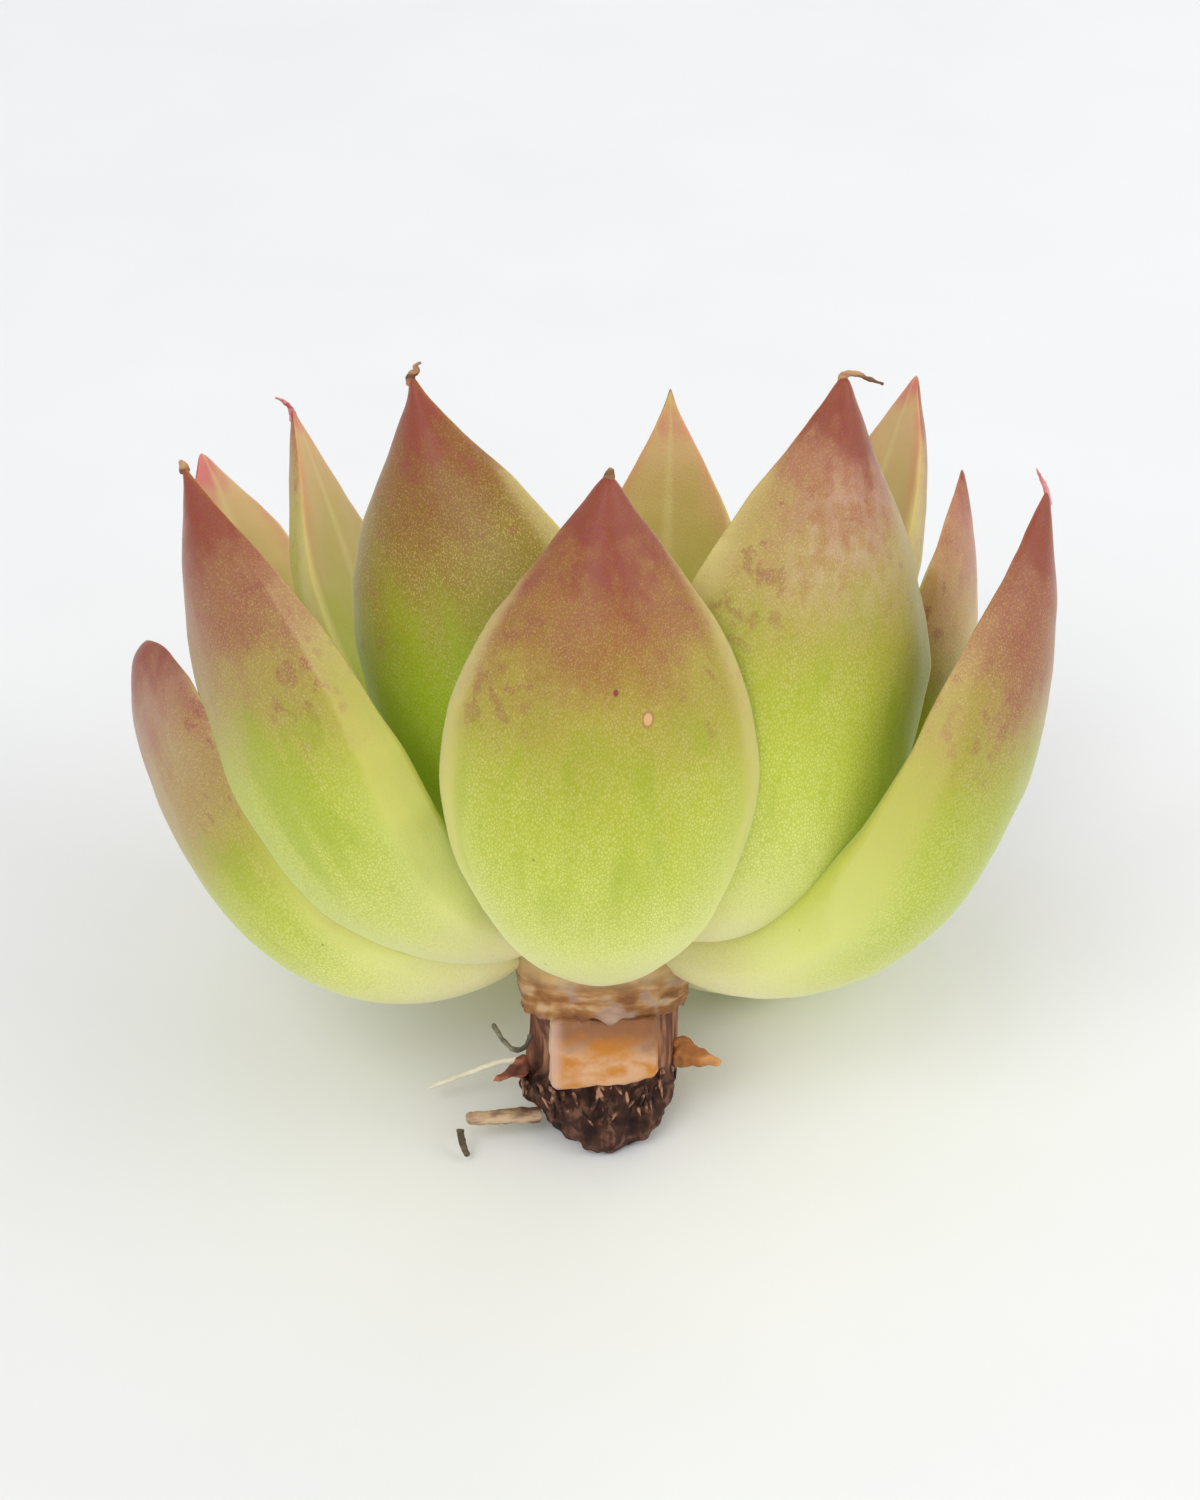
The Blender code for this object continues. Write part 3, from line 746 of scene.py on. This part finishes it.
roughen(torn_fibres, 0.8 * MM, 0.25 * MM)
lift_off_floor(torn_fibres)
finish_piece(torn_fibres, fibre_finish)


# ---- Splinters of bark ---------------------------------------------------------------------
# Two splinters that stand off the stub: reddish brown on the left, orange on the right, where
# fresh wood shows.

def splinter_finish(name, dark, bright):
    """Split wood in streaks of these two colours."""
    wood, place, wire_up = plant_finish(name, Specular_IOR_Level=0.3)
    streaks = place.grain(1100, 4.0, (0.3, 0.3, 1))
    stops = ((0.0, dark), (1.0, bright))
    colour = streaks.node("ValToRGB", {"Fac": streaks.between(0.36, 0.62)}, stops=stops)
    wire_up(Base_Color=colour, Roughness=0.6 + streaks * 0.2, Normal=streaks.bump(0.2 * MM, 0.8))
    return wood


for node, dark, bright, shift in (
    ("bark_strip_left", (0.12, 0.035, 0.02), (0.36, 0.13, 0.07), (0.2, 0, 0)),
    ("bark_strip_right", (0.36, 0.13, 0.035), (0.62, 0.30, 0.10), (-0.8, 0, 0.2)),
):
    splinter = own_copy(node, node + "_wood")
    splinter.data.transform(Matrix.Translation(Vector(shift) * MM))
    modify(splinter, "SUBSURF", levels=3, render_levels=3)
    roughen(splinter, 0.9 * MM, 0.7 * MM)
    finish_piece(splinter, splinter_finish(node + "_finish", dark, bright), node)


# ---- Dry bases of shed leaves --------------------------------------------------------------
# The papery bases of leaves that were shed. They wrap the top of the stub in a wrinkled collar,
# tan and brown in rings, which flares where it meets the living leaves.

scale_finish, place, wire_up = plant_finish(
    "dry_scale_finish", Subsurface_Weight=0.1, Subsurface_Scale=0.5 * MM, Specular_IOR_Level=0.3
)
height = place.node("SeparateXYZ", {0: place}, 2)
rings = place.grain(900, 4.0, (0.3, 0.3, 1.3))
stains = place.grain(330, 3.0)
veins = place.grain(2100, 3.0, (1, 1, 0.2))
stops = (
    (0.0, (0.22, 0.085, 0.035)),
    (0.4, (0.36, 0.16, 0.05)),
    (0.7, (0.46, 0.24, 0.10)),
    (1.0, (0.60, 0.40, 0.22)),
)
ringed = (rings * 0.6 + stains * 0.4).between(0.38, 0.62)
colour = rings.node("ValToRGB", {"Fac": ringed}, stops=stops)
colour = colour.mixed((stains - 0.5).between(0.04, 0.12) * 0.5, (0.34, 0.24, 0.24))
colour = colour.mixed(height.between(-3.2 * MM, -0.6 * MM) * 0.8, (0.70, 0.50, 0.24))
relief = rings + veins * 0.4
wire_up(Base_Color=colour, Roughness=0.6 + veins * 0.2, Normal=relief.bump(0.25 * MM, 0.8))

COLLAR_TOP = 0.6 * MM
COLLAR_FOOT = -5.2 * MM
COLLAR_RADIUS = 7.2 * MM
bpy.ops.object.select_all(action="DESELECT")
bpy.ops.mesh.primitive_cylinder_add(
    vertices=80,
    radius=COLLAR_RADIUS,
    depth=COLLAR_TOP - COLLAR_FOOT,
    end_fill_type="NOTHING",
    location=(0, 0, (COLLAR_TOP + COLLAR_FOOT) / 2),
)
collar = bpy.context.active_object
collar.name = "dry_collar"
bpy.ops.object.transform_apply()
bpy.ops.object.mode_set(mode="EDIT")
bpy.ops.mesh.select_all(action="SELECT")
bpy.ops.mesh.subdivide(number_cuts=9)
bpy.ops.mesh.remove_doubles(threshold=MERGE_DISTANCE)
bpy.ops.mesh.normals_make_consistent(inside=False)
bpy.ops.object.mode_set(mode="OBJECT")
for vertex in collar.data.vertices:
    point = vertex.co.copy()
    up = (point.z - COLLAR_FOOT) / (COLLAR_TOP - COLLAR_FOOT)
    turn = math.atan2(point.y, point.x)
    ring = noise.noise(Vector((turn * 1.5, point.z / (0.7 * MM), 5.0)))
    fold = noise.noise(Vector((turn * 7, point.z / (5 * MM), 1.0)))
    grow = 1 + 0.11 * up + 0.05 * ring + 0.04 * fold
    vertex.co.x *= grow
    vertex.co.y *= grow
    fray = noise.noise(Vector((math.cos(turn) * 4, math.sin(turn) * 4, 3.0)))
    vertex.co.z += 1.6 * MM * fray * max(0.5 - up, 0.0)
modify(collar, "SOLIDIFY", thickness=0.3 * MM, offset=-1)
collar.data.transform(plant_place)
finish_piece(collar, scale_finish)
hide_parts("dry_base_front", "dry_base_right", "dry_base_back", "dry_base_left")


# ---- Roots ---------------------------------------------------------------------------------
# Dry stumps of roots: a pale broken one with dark streaks, a dark twig that hangs below it, a
# grey-green curl and a thin straw-coloured one.

ROOTS = {
    "root_broken": ((0.16, 0.08, 0.05), (0.60, 0.42, 0.26), (0.3, 0, -0.4)),
    "root_twig": ((0.07, 0.05, 0.03), (0.22, 0.17, 0.10), (-0.4, 0, 0.3)),
    "root_curl": ((0.10, 0.10, 0.07), (0.24, 0.22, 0.14), (0.8, 0, 0.5)),
    "root_pale": ((0.72, 0.66, 0.50), (0.84, 0.79, 0.64), (0, 0, 0)),
}
for node, (dark, bright, shift) in ROOTS.items():
    root = own_copy(node, node + "_skin")
    root.data.transform(Matrix.Translation(Vector(shift) * MM))
    modify(root, "SUBSURF", levels=2, render_levels=2)
    roughen(root, 0.7 * MM, 0.22 * MM)
    finish_piece(root, splinter_finish(node + "_finish", dark, bright), node)


# ---- Dried leaf tips -----------------------------------------------------------------------
# A leaf's point ends in a short hair. It has dried brown and curled on the front leaves, and is
# still pink on two leaves beside and behind them.

def find_tip(piece):
    """The point of a leaf that lies furthest along it."""
    share = leaf_lines(piece.data)[0]
    return piece.data.vertices[int(np.argmax(share))].co.copy()


def dry_tip(name, start, bends, thickness, material):
    """A tapering hair from a leaf's tip through these points, in millimetres from the start."""
    line = bpy.data.curves.new(name, "CURVE")
    line.dimensions = "3D"
    line.bevel_depth = 1.0
    line.bevel_resolution = 2
    line.use_fill_caps = True
    spline = line.splines.new("BEZIER")
    spline.bezier_points.add(len(bends) - 1)
    for order, (point, bend) in enumerate(zip(spline.bezier_points, bends)):
        point.co = start + Vector(bend) * MM
        point.handle_left_type = "AUTO"
        point.handle_right_type = "AUTO"
        point.radius = thickness[order] * MM
    add_object(name, line)
    bpy.ops.object.convert(target="MESH")
    hair = bpy.context.active_object
    modify(hair, "SUBSURF", levels=1, render_levels=1)
    roughen(hair, 0.5 * MM, 0.18 * MM)
    finish_piece(hair, material)


dried = splinter_finish("dried_tip_finish", (0.16, 0.07, 0.03), (0.50, 0.28, 0.14))
pink = splinter_finish("red_tip_finish", (0.50, 0.10, 0.11), (0.74, 0.32, 0.31))
tip_of = {node: find_tip(leaf) for node, leaf in leaves.items()}
DRY_TIPS = {
    "leaf_front": (((0, 0.1, -0.7), (0.1, 0, 0.0), (0.2, 0, 0.5)), (0.55, 0.5, 0.25)),
    "leaf_front_left": (
        ((0, 0.1, -0.8), (0.0, 0, 0.0), (0.5, 0, 0.4), (0.3, 0, 0.8), (0.8, 0, 1.1)),
        (0.5, 0.38, 0.24, 0.2, 0.1),
    ),
    "leaf_left_front": (((0.1, 0.1, -0.6), (0, 0, 0.0), (-0.2, 0, 0.3)), (0.5, 0.4, 0.2)),
    "leaf_front_right": (
        ((-0.1, 0.1, -0.7), (0.0, 0, 0.0), (0.8, 0, 0.2), (1.9, 0.1, -0.3), (3.1, 0.2, -0.8)),
        (0.5, 0.35, 0.28, 0.2, 0.1),
    ),
}
PINK_TIPS = {
    "leaf_right": (
        ((0.1, 0, -1.2), (-0.1, 0, 0.2), (-0.6, 0, 1.2), (-1.0, 0, 2.0)),
        (0.45, 0.24, 0.15, 0.07),
    ),
    "leaf_left": (
        ((0.1, 0, -1.2), (-0.2, 0, 0.0), (-0.8, 0, 0.7), (-1.4, 0, 1.0)),
        (0.45, 0.24, 0.15, 0.07),
    ),
}
for node, (bends, thickness) in DRY_TIPS.items():
    dry_tip(node + "_tip", tip_of[node], bends, thickness, dried)
for node, (bends, thickness) in PINK_TIPS.items():
    dry_tip(node + "_tip", tip_of[node], bends, thickness, pink)


# ---- Floor, light and camera ---------------------------------------------------------------
# A plain, pale floor under three large, soft lamps and an even sky, and a camera that looks down
# on the front of the plant.

ground, spot, wire_up = new_finish("ground_finish", Specular_IOR_Level=0.3)
mottle = spot.grain(30, 3.0)
stops = ((0.2, (0.81, 0.81, 0.81)), (0.8, (0.84, 0.84, 0.84)))
colour = mottle.node("ValToRGB", {"Fac": mottle}, stops=stops)
wire_up(Base_Color=colour, Roughness=0.6 + mottle * 0.1)
bpy.ops.object.select_all(action="DESELECT")
bpy.ops.mesh.primitive_plane_add(size=4)
floor = bpy.context.active_object
floor.name = "floor"
floor.data.materials.append(ground)

world = bpy.data.worlds.new("soft_room")
world.use_nodes = True
sky = world.node_tree.nodes["Background"]
sky.inputs["Color"].default_value = (0.97, 0.98, 1.0, 1)
sky.inputs["Strength"].default_value = 0.72
bpy.context.scene.world = world
bpy.context.scene.view_settings.view_transform = "Standard"


def add_lamp(name, energy, size, offset):
    """A soft square lamp, offset from the plant, that faces the plant."""
    lamp = bpy.data.lights.new(name, "AREA")
    lamp.energy = energy
    lamp.size = size
    holder = add_object(name, lamp)
    holder.location = crown_top + Vector(offset)
    holder.rotation_euler = Vector(offset).to_track_quat("Z", "Y").to_euler()


add_lamp("key_lamp", 8.0, 0.8, (-0.5, -0.9, 1.1))
add_lamp("side_lamp", 4.6, 0.8, (0.95, -0.35, 0.8))
add_lamp("back_lamp", 2.0, 0.6, (0.6, 0.9, 0.5))

CAMERA_RISE = LEAN_BACK + math.radians(9)  # how far above the level the camera stands
CAMERA_DISTANCE = 0.261
AIM_LEVEL = 0.7 * MM  # above the crown's top, along the plant's axis
camera_data = bpy.data.cameras.new("camera")
camera_data.sensor_fit = "VERTICAL"
camera_data.sensor_height = 36
camera_data.lens = 72
camera_data.clip_start = 0.01
camera = add_object("camera", camera_data)
aim = crown_top + plant_turn @ Vector((0, 0, AIM_LEVEL))
away = Vector((0, -math.cos(CAMERA_RISE), math.sin(CAMERA_RISE)))
camera.location = aim + away * CAMERA_DISTANCE
camera.rotation_euler = away.to_track_quat("Z", "Y").to_euler()
bpy.context.scene.camera = camera
